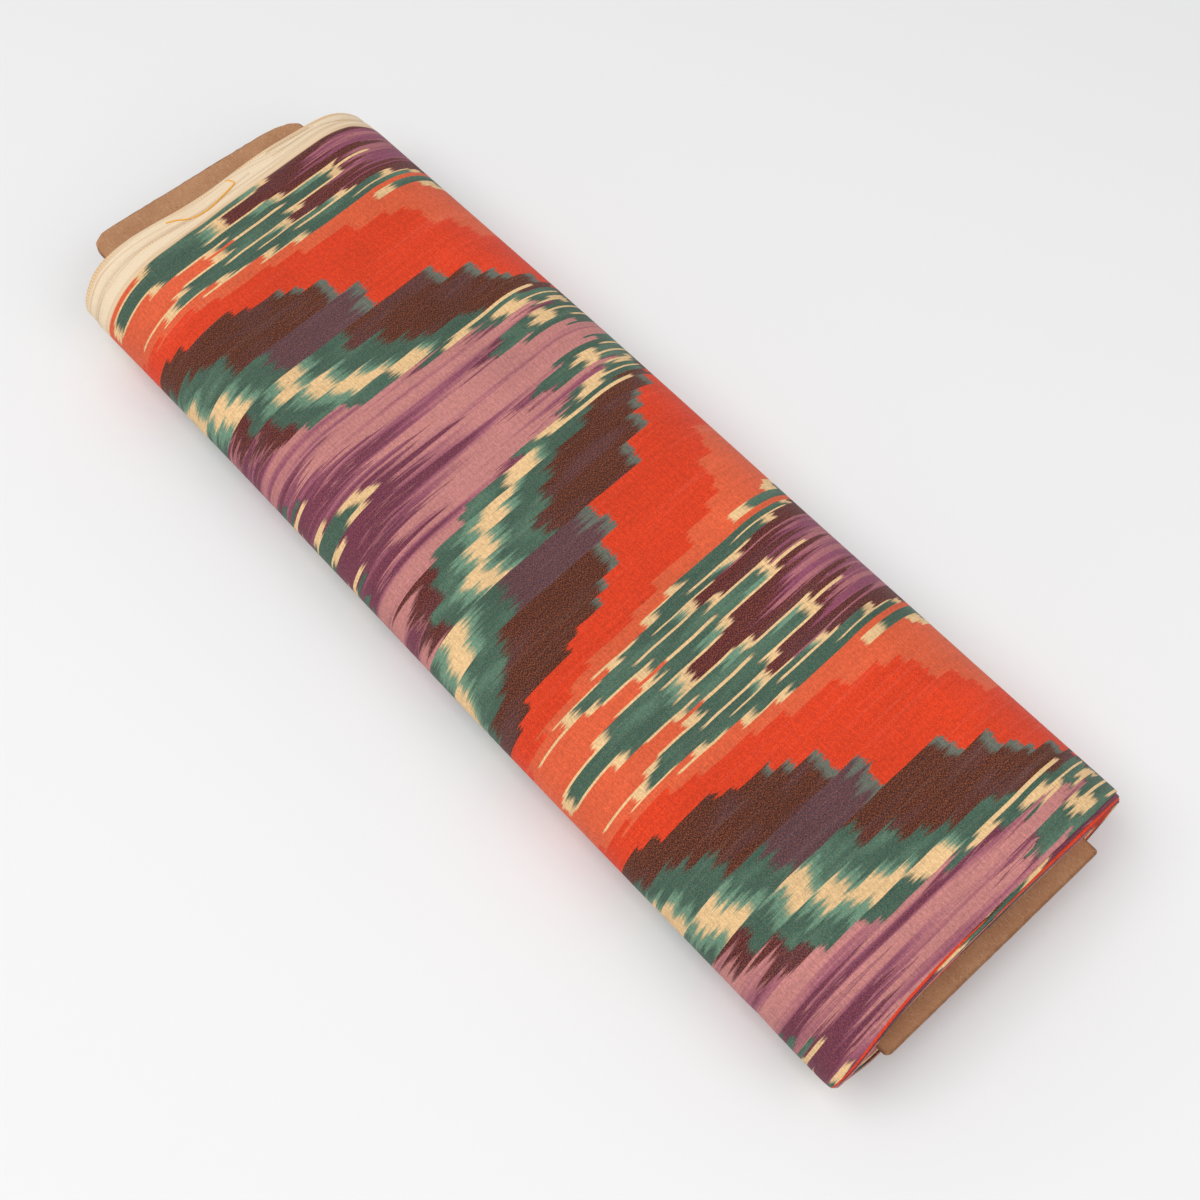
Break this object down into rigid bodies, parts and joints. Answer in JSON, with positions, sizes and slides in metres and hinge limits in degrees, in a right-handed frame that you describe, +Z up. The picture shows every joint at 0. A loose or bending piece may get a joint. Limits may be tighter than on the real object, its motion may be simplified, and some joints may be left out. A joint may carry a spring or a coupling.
{
  "type": "ikat fabric bolt on a bolt board",
  "caption": "Flat bolt of patterned ikat cotton, folded in half lengthwise and wound round a thin card board whose ends stand out of the roll.",
  "frame": {"origin": "centre of the footprint, on the surface that the bolt lies on", "axes": "+X along the bolt towards the folded end of the cloth, +Y across the bolt, +Z up"},
  "size_m": [0.61, 0.2004, 0.0603],
  "materials": {
    "ikat_cloth": "matt plain-weave cotton, warp ikat in orange-red, salmon, brown, green, cream and mauve",
    "bolt_board": "unbleached solid card, matt, finely speckled"
  },
  "bodies": {
    "root": {"wound_cloth": "ikat_cloth", "bolt_board": "bolt_board"}
  },
  "joints": []
}
